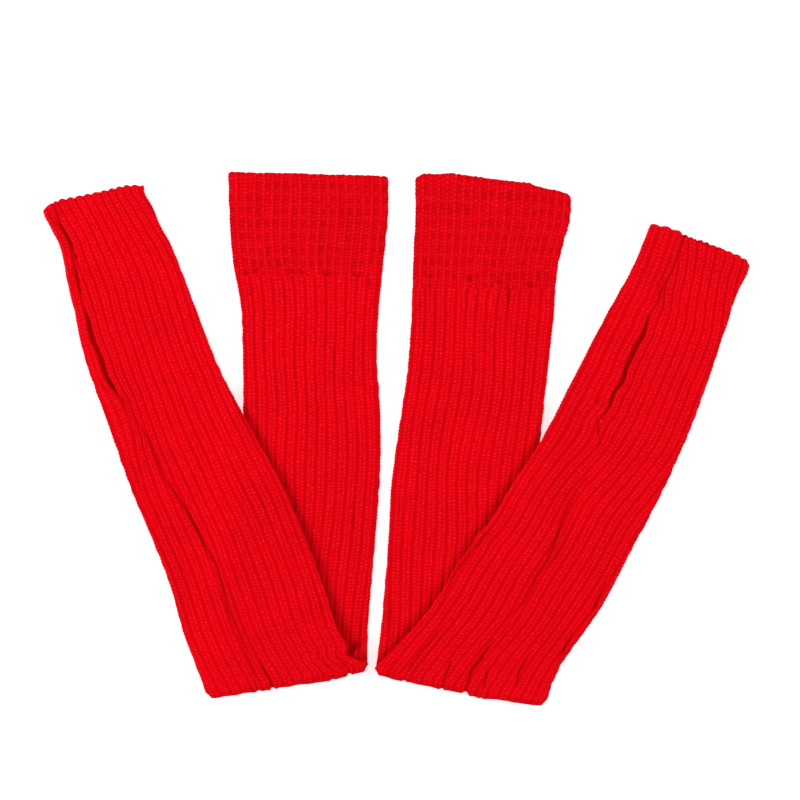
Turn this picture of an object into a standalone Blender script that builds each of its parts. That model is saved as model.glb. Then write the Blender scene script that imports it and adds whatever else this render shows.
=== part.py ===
"""Pair of long stirrup leg warmers in rib knit, laid flat on a surface.

Each leg warmer is one flattened knitted tube. It starts at a waffle cuff, runs down on the
surface as the under stretch, turns over a slanted fold and comes back on top of itself as the
over stretch, which ends in a heel slit and a foot band. +X is right, +Y is towards the cuffs and
+Z is up from the surface. The origin is under the middle of the pair.
"""

import math
from collections import namedtuple

import bmesh
import bpy
import numpy as np

COLLECTION_NAME = "stirrup_leg_warmers"
MM = 0.001

# The cloth, in millimetres.
WALL = 2.4
HOLLOW = 0.8
THICK = 2 * WALL + HOLLOW
SIDE_RADIUS = THICK / 2
RIB_HEIGHT = 1.1
SEAM_GAP = 0.3
LAYER_GAP = 0.5

# How the over stretch lies on the under stretch, in millimetres.
LAYER_RISE = THICK + RIB_HEIGHT + LAYER_GAP
FOLD_INNER_RADIUS = (LAYER_RISE - THICK) / 2
FOLD_TAPER = 7.0
FOLD_STEPS = 6
STEP_DOWN_LENGTH = 36.0
STEP_DOWN_CLEARANCE = 3.0
STEP_DOWN_STARTS = 60.0

# Lengths along each tube, in millimetres.
CUFF_DEPTH = 89.0
HEEL_SLIT_LENGTH = 92.0
SLIT_HALF_WIDTH = 1.9
VALLEY_HALF_WIDTH = 0.35
SCALLOP = 1.6

# Relief counts on one face of the tube.
LEG_RIBS = 12
CUFF_BANDS = 8
RIB_SAMPLES = (0.0, 0.27, 0.73)
BAND_GROOVE = 0.2

UNDER_SPACING = 23.0
OVER_SPACING = 19.0
PLAIN_POINTS = 5
DRAPED_POINTS = 11
BOW_POWER = 4

# Places in the order round a ring: one turn, and the inner corners beside the outer sides.
TURN_ORDER = 6
INNER_ORDER = 1.3

# Edges that bend more than this are drawn sharp, in degrees.
SHARP_CUFF = 13.0
SHARP_LEG = 60.0

YARN_RED = (0.78, 0.0, 0.008, 1.0)
CUFF_RED = (0.70, 0.0, 0.010, 1.0)
YARN_ROUGHNESS = 0.9

# The middle of the pair in the tables' own coordinates.
MIDDLE_X = 0.36
MIDDLE_Y = -1.16

# One row for each measured section across a tube: its middle, its flat width, the turn of its
# line from +X in degrees, and how far its middle bows towards +Y.
Section = namedtuple("Section", "x y width turn bow")

LEFT_UNDER = (
    Section(-76.5, 231.0, 140.0, -1.0, 0.5),
    Section(-76.0, 203.0, 139.5, -1.0, 0.0),
    Section(-76.5, 153.5, 131.5, 0.0, 0.0),
    Section(-75.0, 117.5, 121.0, 0.0, 0.0),
    Section(-75.0, 72.0, 117.0, 0.0, 0.0),
    Section(-73.5, 24.5, 119.5, 1.0, 0.0),
    Section(-74.0, -30.0, 121.0, 3.0, 0.0),
    Section(-78.0, -93.5, 120.5, 4.0, 0.0),
    Section(-81.5, -136.0, 120.5, 6.0, 0.0),
    Section(-86.0, -170.0, 125.0, 7.0, 0.0),
    Section(-94.5, -210.0, 144.0, 10.0, 0.0),
)
LEFT_OVER = (
    Section(-94.5, -210.0, 144.0, 10.0, 0.0),
    Section(-107.5, -187.0, 137.0, 10.0, 0.0),
    Section(-119.5, -162.0, 132.0, 12.5, 0.0),
    Section(-137.0, -111.0, 126.0, 16.5, 0.0),
    Section(-158.0, -60.0, 123.5, 20.5, 0.0),
    Section(-175.0, -26.0, 119.0, 23.5, 0.0),
    Section(-200.5, 32.0, 109.5, 21.0, 0.0),
    Section(-223.5, 92.0, 105.5, 18.0, 0.0),
    Section(-242.0, 153.0, 95.5, 19.0, 0.0),
    Section(-251.0, 179.0, 89.0, 16.0, 2.0),
    Section(-263.5, 209.5, 93.0, 13.0, 4.5),
)
RIGHT_UNDER = (
    Section(85.5, 219.5, 137.0, -8.5, 7.5),
    Section(85.5, 200.0, 136.0, -3.5, 2.0),
    Section(79.0, 152.5, 127.0, -1.0, 0.0),
    Section(76.0, 103.0, 124.0, -0.5, 0.0),
    Section(72.0, 59.5, 122.5, -0.5, 0.0),
    Section(65.0, 4.5, 124.0, -2.5, 0.0),
    Section(59.0, -45.0, 125.0, -5.0, 0.0),
    Section(56.5, -97.0, 126.0, -7.0, 0.0),
    Section(55.5, -146.0, 132.0, -9.5, 0.0),
    Section(56.0, -185.0, 141.0, -11.0, 0.0),
    Section(57.0, -215.0, 153.0, -10.5, 0.0),
)
RIGHT_OVER = (
    Section(57.0, -215.0, 153.0, -10.5, 0.0),
    Section(72.0, -193.5, 139.0, -14.5, 0.0),
    Section(98.5, -160.0, 128.0, -18.0, 0.0),
    Section(126.5, -116.5, 125.5, -23.5, 0.0),
    Section(153.5, -70.5, 120.0, -25.0, 0.0),
    Section(179.5, -26.5, 115.5, -25.5, 0.0),
    Section(204.5, 24.5, 112.0, -25.5, 0.0),
    Section(228.5, 78.5, 104.5, -23.5, 0.0),
    Section(250.5, 131.0, 94.0, -21.5, 0.0),
    Section(266.5, 168.5, 93.5, -23.0, 3.5),
)

# One row for each main crease: its start, middle and end on the surface, its depth and half of
# its width.
Crease = namedtuple("Crease", "x0 y0 x1 y1 x2 y2 depth half_width")

LEFT_UNDER_CREASES = (
    Crease(-30.0, -152.0, -30.5, -170.0, -30.0, -188.0, 0.9, 4.5),
    Crease(-66.0, 172.0, -65.5, 162.0, -65.0, 152.0, 0.8, 4.0),
)
LEFT_OVER_CREASES = (
    Crease(-236.0, 30.0, -165.0, -94.0, -124.0, -208.0, 1.2, 6.5),
    Crease(-240.0, -4.0, -231.0, -23.0, -221.0, -42.0, 0.8, 5.0),
    Crease(-120.0, -184.0, -112.0, -200.0, -105.0, -215.0, 1.0, 6.0),
    Crease(-299.0, 196.0, -284.0, 170.0, -275.0, 130.0, 1.1, 5.0),
)
RIGHT_UNDER_CREASES = (
    Crease(5.0, -54.0, 5.0, -67.0, 5.0, -82.0, 0.8, 4.5),
    Crease(-3.0, -136.0, -3.0, -156.0, -2.0, -176.0, 0.9, 5.0),
)
RIGHT_OVER_CREASES = (
    Crease(105.0, -156.0, 80.0, -187.0, 61.0, -226.0, 1.2, 7.0),
    Crease(80.0, -84.0, 58.0, -108.0, 44.0, -140.0, 1.0, 6.5),
    Crease(164.0, -37.0, 145.0, -71.0, 134.0, -108.0, 1.0, 6.5),
    Crease(155.0, -168.0, 147.0, -184.0, 141.0, -202.0, 0.8, 6.0),
    Crease(177.0, 34.0, 175.0, 15.0, 167.0, 2.0, 0.8, 5.0),
    Crease(249.0, 178.0, 231.0, 143.0, 221.0, 106.0, 1.0, 5.0),
)

# One row for each leg warmer: the side on which the over stretch leaves the under stretch, the
# ribs across the cuff, the foot band's length and the rib valley that the heel slit follows.
LegWarmer = namedtuple(
    "LegWarmer",
    "name under over leaves_to cuff_ribs band_length slit_valley under_creases over_creases",
)
PAIR = (
    LegWarmer(
        "left", LEFT_UNDER, LEFT_OVER, -1, 17, 84.0, -5, LEFT_UNDER_CREASES, LEFT_OVER_CREASES
    ),
    LegWarmer(
        "right", RIGHT_UNDER, RIGHT_OVER, 1, 18, 72.0, -2, RIGHT_UNDER_CREASES, RIGHT_OVER_CREASES
    ),
)

# A point of a ring: face is its place across the flat faces from -1 to 1, side its reach into
# the rounded side from -1 to 1, rise its height over the plain face, rib its share of the rib
# height, lip -1 or 1 on the two edges of the slit, and order its place round the ring.
RingPoint = namedtuple("RingPoint", "face side rise rib lip order")


def smoothstep(value):
    """Ease from 0 to 1."""
    value = np.clip(value, 0.0, 1.0)
    return value * value * (3 - 2 * value)


class Stretch:
    """A smooth run of sections, read by the length along its middle line."""

    def __init__(self, rows):
        self.rows = np.array(rows, dtype=float)
        steps = np.hypot(np.diff(self.rows[:, 0]), np.diff(self.rows[:, 1]))
        self.knots = np.concatenate(([0.0], np.cumsum(steps)))
        self.slopes = np.gradient(self.rows, self.knots, axis=0)
        self.length = self.knots[-1]

    def at(self, lengths):
        """Return x, y, width, turn and bow at each length, on a cubic through the rows."""
        lengths = np.asarray(lengths, dtype=float)
        row = np.searchsorted(self.knots, lengths, side="right") - 1
        row = np.clip(row, 0, len(self.knots) - 2)
        span = self.knots[row + 1] - self.knots[row]
        t = (lengths - self.knots[row]) / span
        t = t[:, None]
        span = span[:, None]
        return (
            (2 * t**3 - 3 * t**2 + 1) * self.rows[row]
            + (t**3 - 2 * t**2 + t) * span * self.slopes[row]
            + (3 * t**2 - 2 * t**3) * self.rows[row + 1]
            + (t**3 - t**2) * span * self.slopes[row + 1]
        )


def part_at_slit(row, slit, clearance):
    """Part a row of top points at the slit, whose two edges start and end the ring."""
    edge = row[0]._replace(face=slit, rib=0.0, lip=1, order=slit)
    right = [point for point in row if point.face > slit + clearance]
    left = [point for point in row if point.face < slit - clearance] + [edge._replace(lip=-1)]
    return [edge] + right, [point._replace(order=point.order + TURN_ORDER) for point in left]


def ring(ribs, plain_points, slit=None):
    """Return the outer and the inner points of one ring of the tube.

    The ring runs over the ribbed face, round the right side, back over the plain face and round
    the left side. With a slit it starts and ends on the slit's edges.
    """
    top = []
    for rib in range(ribs):
        for sample in RIB_SAMPLES:
            face = 2 * (rib + sample) / ribs - 1
            top.append(RingPoint(face, 0.0, THICK, float(sample > 0), 0, face))
    top.append(RingPoint(1.0, 0.0, THICK, 0.0, 0, 1.0))
    right_side = []
    left_side = []
    for quarter in (1, 2, 3):
        reach = math.sin(quarter * math.pi / 4)
        drop = SIDE_RADIUS * (1 - math.cos(quarter * math.pi / 4))
        right_side.append(RingPoint(1.0, reach, THICK - drop, 0.0, 0, 1 + quarter / 4))
        left_side.append(RingPoint(-1.0, -reach, drop, 0.0, 0, 4 + quarter / 4))
    faces = np.linspace(-1.0, 1.0, plain_points)
    plain = [RingPoint(face, 0.0, 0.0, 0.0, 0, 3 - face) for face in faces[::-1]]
    ceiling = [RingPoint(face, 0.0, THICK - WALL, 0.0, 0, INNER_ORDER * face) for face in faces]
    floor = [RingPoint(face, 0.0, WALL, 0.0, 0, 3 - INNER_ORDER * face) for face in faces[::-1]]
    if slit is None:
        return top + right_side + plain + left_side, ceiling + floor
    top_right, top_left = part_at_slit(top, slit, 1 / (ribs * len(RIB_SAMPLES) * 4))
    ceiling_right, ceiling_left = part_at_slit(ceiling, slit, 0.5 / plain_points)
    outer = top_right + right_side + plain + left_side + top_left
    return outer, ceiling_right + floor + ceiling_left


def crease_depth(creases, x, y):
    """Return how deep the creases press into the cloth at each point of the plan."""
    depth = np.zeros_like(x)
    for crease in creases:
        t = np.linspace(0.0, 1.0, 25)
        start, middle, end = (2 * t - 1) * (t - 1), 4 * t * (1 - t), t * (2 * t - 1)
        line_x = start * crease.x0 + middle * crease.x1 + end * crease.x2
        line_y = start * crease.y0 + middle * crease.y1 + end * crease.y2
        away = np.hypot(x[..., None] - line_x, y[..., None] - line_y)
        fade = np.sin(math.pi * np.clip(t[away.argmin(axis=-1)], 0.12, 0.88))
        depth += crease.depth * fade * np.exp(-((away.min(axis=-1) / crease.half_width) ** 2))
    return depth


class Tube:
    """One node: rings of one layout along its stations, lofted into a closed wall."""

    def __init__(self, name, outer, inner, stations, creases):
        self.name = name
        self.points = outer + inner
        self.outer_count = len(outer)
        self.stations = stations
        self.creases = creases
        self.slit_from = len(stations)
        self.sharp = SHARP_LEG

    def ring_values(self, field):
        return np.array([getattr(point, field) for point in self.points])[None, :]

    def plan(self, rib_share, slit_half=0.0):
        """Return the plan position of every ring point and its rise over the plain face."""
        x, y, width, turn, bow = (column[:, None] for column in self.stations.T)
        turn = np.radians(turn)
        face_half = width / 2 - SIDE_RADIUS
        across = self.ring_values("face") * face_half + self.ring_values("side") * SIDE_RADIUS
        across = across + self.ring_values("lip") * slit_half
        along = bow * (1 - (2 * across / width) ** BOW_POWER)
        plan_x = x + across * np.cos(turn) - along * np.sin(turn)
        plan_y = y + across * np.sin(turn) + along * np.cos(turn)
        ribs = self.ring_values("rib") * rib_share[:, None]
        on_top = (self.ring_values("rise") == THICK) * 1.0
        rise = self.ring_values("rise") + RIB_HEIGHT * ribs
        rise = rise - on_top * crease_depth(self.creases, plan_x, plan_y)
        return plan_x, plan_y, rise, turn

    def loft(self, positions, material, collection):
        """Join the rings into one closed mesh object and return it."""
        stations, points, _ = positions.shape
        outer = list(range(self.outer_count))
        inner = list(range(self.outer_count, points))
        mesh = bmesh.new()
        verts = [[mesh.verts.new(point) for point in row] for row in positions]
        for row in range(stations - 1):
            here, there = verts[row], verts[row + 1]
            for a, b in zip(outer, outer[1:]):
                mesh.faces.new((here[a], there[a], there[b], here[b]))
            for a, b in zip(inner, inner[1:]):
                mesh.faces.new((here[a], here[b], there[b], there[a]))
            left, right = (outer[-1], inner[-1]), (outer[0], inner[0])
            if row < self.slit_from:
                mesh.faces.new((here[left[0]], there[left[0]], there[right[0]], here[right[0]]))
                mesh.faces.new((here[left[1]], here[right[1]], there[right[1]], there[left[1]]))
            else:
                mesh.faces.new((here[left[0]], there[left[0]], there[left[1]], here[left[1]]))
                mesh.faces.new((here[right[0]], here[right[1]], there[right[1]], there[right[0]]))
        self.cap(mesh, verts[0], outer, inner)
        self.cap(mesh, verts[-1], outer, inner)
        edges = (outer[-1], outer[0], inner[0], inner[-1])
        mesh.faces.new([verts[0][edge] for edge in edges])
        last_whole = min(self.slit_from, stations - 1)
        mesh.faces.new([verts[last_whole][edge] for edge in edges])
        bmesh.ops.recalc_face_normals(mesh, faces=mesh.faces)
        data = bpy.data.meshes.new(self.name)
        mesh.to_mesh(data)
        mesh.free()
        data.shade_smooth()
        data.set_sharp_from_angle(angle=math.radians(self.sharp))
        data.materials.append(material)
        tube = bpy.data.objects.new(self.name, data)
        collection.objects.link(tube)
        return tube

    def cap(self, mesh, row, outer, inner):
        """Close the wall between the outer and the inner ring at one end."""
        orders = [point.order for point in self.points]
        a, b = 0, 0
        while a < len(outer) - 1 or b < len(inner) - 1:
            next_outer = orders[outer[a + 1]] if a < len(outer) - 1 else math.inf
            next_inner = orders[inner[b + 1]] if b < len(inner) - 1 else math.inf
            if next_outer <= next_inner:
                mesh.faces.new((row[outer[a]], row[outer[a + 1]], row[inner[b]]))
                a += 1
            else:
                mesh.faces.new((row[outer[a]], row[inner[b + 1]], row[inner[b]]))
                b += 1


def flat_positions(tube, rib_share, scallop):
    """Place a tube that lies on the surface, with its end pushed out at each rib."""
    x, y, rise, turn = tube.plan(rib_share)
    push = scallop[:, None] * tube.ring_values("rib")
    return np.stack((x - push * np.sin(turn), y + push * np.cos(turn), rise), axis=-1)


def over_positions(tube, angles, beyond_fold, rib_share, slit_half, under_edge, leaves_to):
    """Place the over stretch: round the fold, on the under stretch, then down to the surface."""
    x, y, rise, turn = tube.plan(rib_share, slit_half)
    angle = angles[:, None]
    reach = FOLD_INNER_RADIUS + rise
    out = reach * np.sin(angle)
    round_fold = FOLD_INNER_RADIUS + THICK - reach * np.cos(angle)
    outside = leaves_to * (x - np.interp(y, under_edge[:, 1], under_edge[:, 0]))
    lowered = LAYER_RISE * smoothstep((outside - STEP_DOWN_CLEARANCE) / STEP_DOWN_LENGTH)
    settled = smoothstep(beyond_fold / STEP_DOWN_STARTS)[:, None]
    z = np.where(angle < math.pi, round_fold, LAYER_RISE + rise - lowered * settled)
    return np.stack((x + out * np.sin(turn), y - out * np.cos(turn), z), axis=-1)


def edge_line(stretch, side):
    """Return the plan points of one edge of a stretch, in rising Y."""
    rows = stretch.at(np.linspace(0.0, stretch.length, 60))
    turn = np.radians(rows[:, 3])
    x = rows[:, 0] + side * rows[:, 2] / 2 * np.cos(turn)
    y = rows[:, 1] + side * rows[:, 2] / 2 * np.sin(turn)
    return np.column_stack((x, y))[::-1]


def to_metres(positions):
    middle = np.array((MIDDLE_X, MIDDLE_Y, 0.0))
    return (positions - middle) * MM


def even_lengths(start, end, spacing):
    """Return even lengths from start to end, about one spacing apart."""
    return np.linspace(start, end, max(2, round((end - start) / spacing) + 1))


def build_cuff(warmer, material, collection):
    """Make the waffle cuff, whose ribs are crossed by raised bands."""
    under = Stretch(warmer.under)
    lengths = np.linspace(0.0, CUFF_DEPTH, 2 * CUFF_BANDS + 1)
    outer, inner = ring(warmer.cuff_ribs, PLAIN_POINTS)
    tube = Tube(f"{warmer.name}_knee_cuff", outer, inner, under.at(lengths), warmer.under_creases)
    tube.sharp = SHARP_CUFF
    on_band = np.arange(len(lengths)) % 2
    rib_share = BAND_GROOVE + (1 - BAND_GROOVE) * on_band
    positions = flat_positions(tube, rib_share, np.zeros(len(lengths)))
    return tube.loft(to_metres(positions), material, collection)


def build_leg_under(warmer, material, collection):
    """Make the ribbed stretch that lies on the surface, from the cuff to the fold."""
    under = Stretch(warmer.under)
    lengths = even_lengths(CUFF_DEPTH + SEAM_GAP, under.length - SEAM_GAP, UNDER_SPACING)
    outer, inner = ring(LEG_RIBS, PLAIN_POINTS)
    tube = Tube(f"{warmer.name}_leg_under", outer, inner, under.at(lengths), warmer.under_creases)
    positions = flat_positions(tube, np.ones(len(lengths)), np.zeros(len(lengths)))
    return tube.loft(to_metres(positions), material, collection)


def build_leg_over(warmer, material, collection):
    """Make the ribbed stretch that turns round the fold and lies on top, with the heel slit."""
    over = Stretch(warmer.over)
    band_start = over.length - warmer.band_length
    slit_start = band_start - HEEL_SLIT_LENGTH
    to_slit = even_lengths(0.0, slit_start, OVER_SPACING)
    in_slit = even_lengths(slit_start, band_start - SEAM_GAP, OVER_SPACING)
    lengths = np.concatenate((np.zeros(FOLD_STEPS), to_slit, in_slit[1:]))
    angles = np.full(len(lengths), math.pi)
    angles[:FOLD_STEPS] = np.linspace(0.0, math.pi, FOLD_STEPS, endpoint=False)
    stations = over.at(lengths)
    stations[:, 2] -= FOLD_TAPER * np.sin(angles)
    outer, inner = ring(LEG_RIBS, DRAPED_POINTS, 2 * warmer.slit_valley / LEG_RIBS)
    tube = Tube(f"{warmer.name}_leg_over", outer, inner, stations, warmer.over_creases)
    tube.slit_from = FOLD_STEPS + len(to_slit) - 1
    along_slit = np.clip((lengths - slit_start) / HEEL_SLIT_LENGTH, 0.0, 1.0)
    half = VALLEY_HALF_WIDTH + SLIT_HALF_WIDTH * np.sin(math.pi * along_slit) ** 0.8
    rib_share = smoothstep(angles / math.radians(60.0))
    edge = edge_line(Stretch(warmer.under), warmer.leaves_to)
    positions = over_positions(tube, angles, lengths, rib_share, half[:, None], edge, warmer.leaves_to)
    return tube.loft(to_metres(positions), material, collection)


def build_foot_band(warmer, material, collection):
    """Make the band that passes under the foot, with a scalloped end."""
    over = Stretch(warmer.over)
    lengths = even_lengths(over.length - warmer.band_length, over.length, OVER_SPACING)
    outer, inner = ring(LEG_RIBS, PLAIN_POINTS)
    tube = Tube(f"{warmer.name}_foot_band", outer, inner, over.at(lengths), warmer.over_creases)
    scallop = np.zeros(len(lengths))
    scallop[-1] = SCALLOP
    positions = flat_positions(tube, np.ones(len(lengths)), scallop)
    return tube.loft(to_metres(positions), material, collection)


def yarn(name, colour):
    """Return a matte material of one colour."""
    material = bpy.data.materials.new(name)
    material.use_nodes = True
    shader = material.node_tree.nodes["Principled BSDF"]
    shader.inputs["Base Color"].default_value = colour
    shader.inputs["Roughness"].default_value = YARN_ROUGHNESS
    shader.inputs["Metallic"].default_value = 0.0
    material.diffuse_color = colour
    return material


def main():
    for leftover in list(bpy.data.objects):
        bpy.data.objects.remove(leftover, do_unlink=True)
    collection = bpy.data.collections.new(COLLECTION_NAME)
    bpy.context.scene.collection.children.link(collection)
    for warmer in PAIR:
        build_cuff(warmer, yarn(f"{warmer.name}_cuff_yarn", CUFF_RED), collection)
        build_leg_under(warmer, yarn(f"{warmer.name}_under_yarn", YARN_RED), collection)
        build_leg_over(warmer, yarn(f"{warmer.name}_over_yarn", YARN_RED), collection)
        build_foot_band(warmer, yarn(f"{warmer.name}_band_yarn", YARN_RED), collection)


if __name__ == "__main__":
    main()
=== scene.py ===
"""Pair of long stirrup leg warmers in red rib knit, laid flat, each folded back over itself.

The file is laid out as a Blender add-on and is run as a script. Each piece starts as a grid that
runs round and along the knitted tube. Its points are placed on the measured sections of the
tube, with the ribs, the stitches, the creases and the heel slit as real relief.
"""

import math
from collections import namedtuple

import bmesh
import bpy
import numpy as np
from bpy.props import FloatProperty, FloatVectorProperty, PointerProperty
from bpy.types import Operator, Panel, PropertyGroup
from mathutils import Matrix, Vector


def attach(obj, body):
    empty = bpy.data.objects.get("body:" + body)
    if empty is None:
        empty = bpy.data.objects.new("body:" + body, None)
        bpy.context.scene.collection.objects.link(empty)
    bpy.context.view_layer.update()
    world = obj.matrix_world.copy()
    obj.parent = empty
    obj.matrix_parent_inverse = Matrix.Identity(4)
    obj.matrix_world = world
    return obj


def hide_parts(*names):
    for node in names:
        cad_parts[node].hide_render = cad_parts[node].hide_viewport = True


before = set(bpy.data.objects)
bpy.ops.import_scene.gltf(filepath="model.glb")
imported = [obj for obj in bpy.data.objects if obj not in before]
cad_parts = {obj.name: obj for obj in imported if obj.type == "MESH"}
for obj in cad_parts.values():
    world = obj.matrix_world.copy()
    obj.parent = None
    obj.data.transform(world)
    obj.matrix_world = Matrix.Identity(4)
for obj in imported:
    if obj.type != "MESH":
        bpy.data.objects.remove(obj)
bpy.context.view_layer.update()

bl_info = {
    "name": "Stirrup leg warmers",
    "version": (1, 0, 0),
    "blender": (4, 5, 0),
    "location": "View3D > Sidebar > Leg warmers",
    "description": "Builds a pair of rib knit leg warmers laid flat on a pale floor",
    "category": "Object",
}

MM = 0.001

# The tube of cloth, in millimetres. RIB_TOP is how far the ribs' crests stand out of it.
WALL = 2.4
THICK = 5.6
SIDE_RADIUS = THICK / 2
RIB_TOP = 1.1
BOW_POWER = 4

# The fold: how far the layers are apart, how much narrower the tube is there, the step from row to
# row, the turn by which the ribs have risen, and the bulges along it.
LAYER_RISE = 7.2
FOLD_INNER_RADIUS = (LAYER_RISE - THICK) / 2
FOLD_TAPER = 4.5
FOLD_STEP = 0.8
FOLD_RIBS_RISEN = math.radians(60.0)
FOLD_SMOOTHING = 0.75
FOLD_BULGE = 0.45
FOLD_BULGE_WAVE = 15

# How the over stretch steps down to the surface beside the under stretch.
STEP_DOWN_LENGTH = 36
STEP_DOWN_CLEARANCE = 3
STEP_DOWN_STARTS = 60

# Lengths along a tube, in millimetres. A reach is how far from an end its shape dies away.
CUFF_DEPTH = 89
CUFF_EDGE_REACH = 30
CUFF_CORNER = 3.4
LINING = 14
SCALLOP = 1.6
SCALLOP_REACH = 5
FOOT_EDGE_REACH = 25
MOUTH_UNEVEN = 0.3
MOUTH_WAVE = 6

# The heel slit, in millimetres. The ribs come into line with it over the run in.
HEEL_SLIT_LENGTH = 92
SLIT_HALF_WIDTH = 1.9
SLIT_DEPTH = THICK - WALL - 0.3
SLIT_OPEN = 0.9
SLIT_RUN_IN = 90

# How far the slit strays from its line, how many ribs beside it follow and how many its lips push
# aside, in ribs, then the columns of its lips and the step from one to the next.
SLIT_WANDER = 0.16
SLIT_WANDER_RIBS = 4
SLIT_LIP_RIBS = 1.4
SLIT_COLUMNS = (-3, -2, -1, 0, 1, 2, 3)
SLIT_COLUMN_STEP = 0.012

# How much of its width a rib keeps where it hides in the crease at the foot, and how deep it lies.
TUCK_SHARE = 0.08
TUCK_DEPTH = 0.6

# The cuff and the leg meet at one level of the relief, and this share of it stays there.
SEAM_LEVEL = 0.6
SEAM_SHARE = 0.5
SEAM_REACH = 3

# The waves in which the ribs stray sideways, in millimetres, and the small waves' share.
WANDER_WAVE = 85
WIGGLE_WAVE = 13
WIGGLE_SHARE = 0.22

# The over stretch is pulled smoother than the rest, and more so near the fold.
OVER_WANDER = 0.7
FOLD_CALM = 0.45
FOLD_CALM_REACH = 45
FOLD_STRAIGHT = 90

# How far one chain of stitches runs ahead of the next, how uneven the stitches are and how far the
# sides of a stitch lean back, all as shares of a stitch.
CHAIN_DRIFT = 0.35
STITCH_JITTER = 0.16
STITCH_LEAN = 0.15

# Beside a crease the cloth rises in a ridge: its share of the depth, its place and its width, both
# counted in half widths of the crease.
RIDGE_SHARE = 0.28
RIDGE_PLACE = 2.1
RIDGE_WIDTH = 0.9
CREASE_REACH = 4
CREASE_STEP = 1.5
# CREASE_FULL_SHADE is the crease depth in millimetres at which its painted shade is full.
CREASE_FULL_SHADE = 2

# How far a side edge of the cloth strays from its smooth line, and its waves, in millimetres.
EDGE_WOBBLE = 0.22
EDGE_WAVE = 12

# Counts on one face of a tube, and of rows and points.
LEG_RIBS = 13
CUFF_BANDS = 8
ROWS_PER_COURSE = 4
RIM_ROWS = 7
LINING_ROWS = 8
EDGE_POINTS = 60
WAVES = 7

# How dark the painted shade makes the lowest and hidden parts of the knit, as shares.
LEG_VALLEY_SHADE = 0.085
CHAIN_GAP_SHADE = 0.12
CUFF_DENT_SHADE = 0.31
MOUTH_SHADE = 0.5
CREASE_SHADE = 0.52
SLIT_SHADE = 0.4
BESIDE_SHADE = 0.42
BESIDE_REACH = 5.5

# Places of the mesh columns within one rib. A leg rib holds two chains of stitches, and a cuff
# rib one on its crest and one in its valley. A chain row is the offset from the rib's middle, how
# far the chains lie to either side of that line, and half of a chain's width, in ribs.
LEG_STEPS = tuple(step / 10 for step in range(10))
CUFF_STEPS = (0.0, 0.13, 0.25, 0.37, 0.5, 0.63, 0.75, 0.87)
HIDDEN_STEPS = (0.0, 0.5)
LEG_CHAIN = (0.2, 0.0, 0.17)
CUFF_CHAIN = (0.25, 0.25, 0.2)

# The lamps, with their places in metres and their shares of the set power.
LAMPS = (("left_lamp", (-1.7, 0.5, 1.1), 1.2), ("right_lamp", (1.7, 0.3, 1.1), 0.8))
LAMP_SIZE = 0.9
WHITE = (1.0, 1.0, 1.0, 1.0)

# Half the width of the floor in metres, and the camera's place and lens in millimetres.
FLOOR_HALF_WIDTH = 30
CAMERA_X = 3.58
CAMERA_Y = 34.41
CLOTH_HEIGHT = 6
LENS = 85
SENSOR = 36

# The middle of the pair in the tables' own coordinates.
MIDDLE_X = 0.36
MIDDLE_Y = -1.16

# One row for each measured section across a tube, in millimetres and degrees: its middle, its
# flat width, the turn of its line from +X, and how far its middle bows towards +Y if it does.
Section = namedtuple("Section", "x y width turn bow", defaults=(0,))


def table(columns, *rows):
    """Name the columns of a table."""
    return tuple(columns(*row) for row in rows)


def creases(*rows):
    """Name the columns of a table of creases."""
    return tuple(Crease(depth, half_width, points) for depth, half_width, *points in rows)


LEFT_UNDER = table(
    Section,
    (-76.5, 231, 140, -1, 0.5),
    (-76, 203, 139.5, -1),
    (-76.5, 153.5, 131.5, 0),
    (-75, 117.5, 121, 0),
    (-75, 72, 117, 0),
    (-73.5, 24.5, 119.5, 1),
    (-74, -30, 121, 3),
    (-78, -93.5, 120.5, 4),
    (-81.5, -136, 120.5, 6),
    (-86, -170, 125, 7),
    (-94.5, -210, 144, 10),
)
LEFT_OVER = table(
    Section,
    (-94.5, -210, 144, 10),
    (-107.5, -187, 137, 10),
    (-119.5, -162, 132, 12.5),
    (-137, -111, 126, 16.5),
    (-158, -60, 123.5, 20.5),
    (-175, -26, 119, 23.5),
    (-200.5, 32, 109.5, 21),
    (-223.5, 92, 105.5, 18),
    (-242, 153, 95.5, 19),
    (-251, 179, 89, 16, 2),
    (-263.5, 209.5, 93, 13, 4.5),
)
RIGHT_UNDER = table(
    Section,
    (85.5, 219.5, 137, -8.5, 7.5),
    (85.5, 200, 136, -3.5, 2),
    (79, 152.5, 127, -1),
    (76, 103, 124, -0.5),
    (72, 59.5, 122.5, -0.5),
    (65, 4.5, 124, -2.5),
    (59, -45, 125, -5),
    (56.5, -97, 126, -7),
    (55.5, -146, 132, -9.5),
    (56, -185, 141, -11),
    (57, -215, 153, -10.5),
)
RIGHT_OVER = table(
    Section,
    (57, -215, 153, -10.5),
    (72, -193.5, 139, -14.5),
    (98.5, -160, 128, -18),
    (126.5, -116.5, 125.5, -23.5),
    (153.5, -70.5, 120, -25),
    (179.5, -26.5, 115.5, -25.5),
    (204.5, 24.5, 112, -25.5),
    (228.5, 78.5, 104.5, -23.5),
    (250.5, 131, 94, -21.5),
    (266.5, 168.5, 93.5, -23, 3.5),
)

# One row for each crease, in millimetres: its depth, half of its width and the points it runs
# through. A negative depth makes a raised roll.
Crease = namedtuple("Crease", "depth half_width points")

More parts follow.
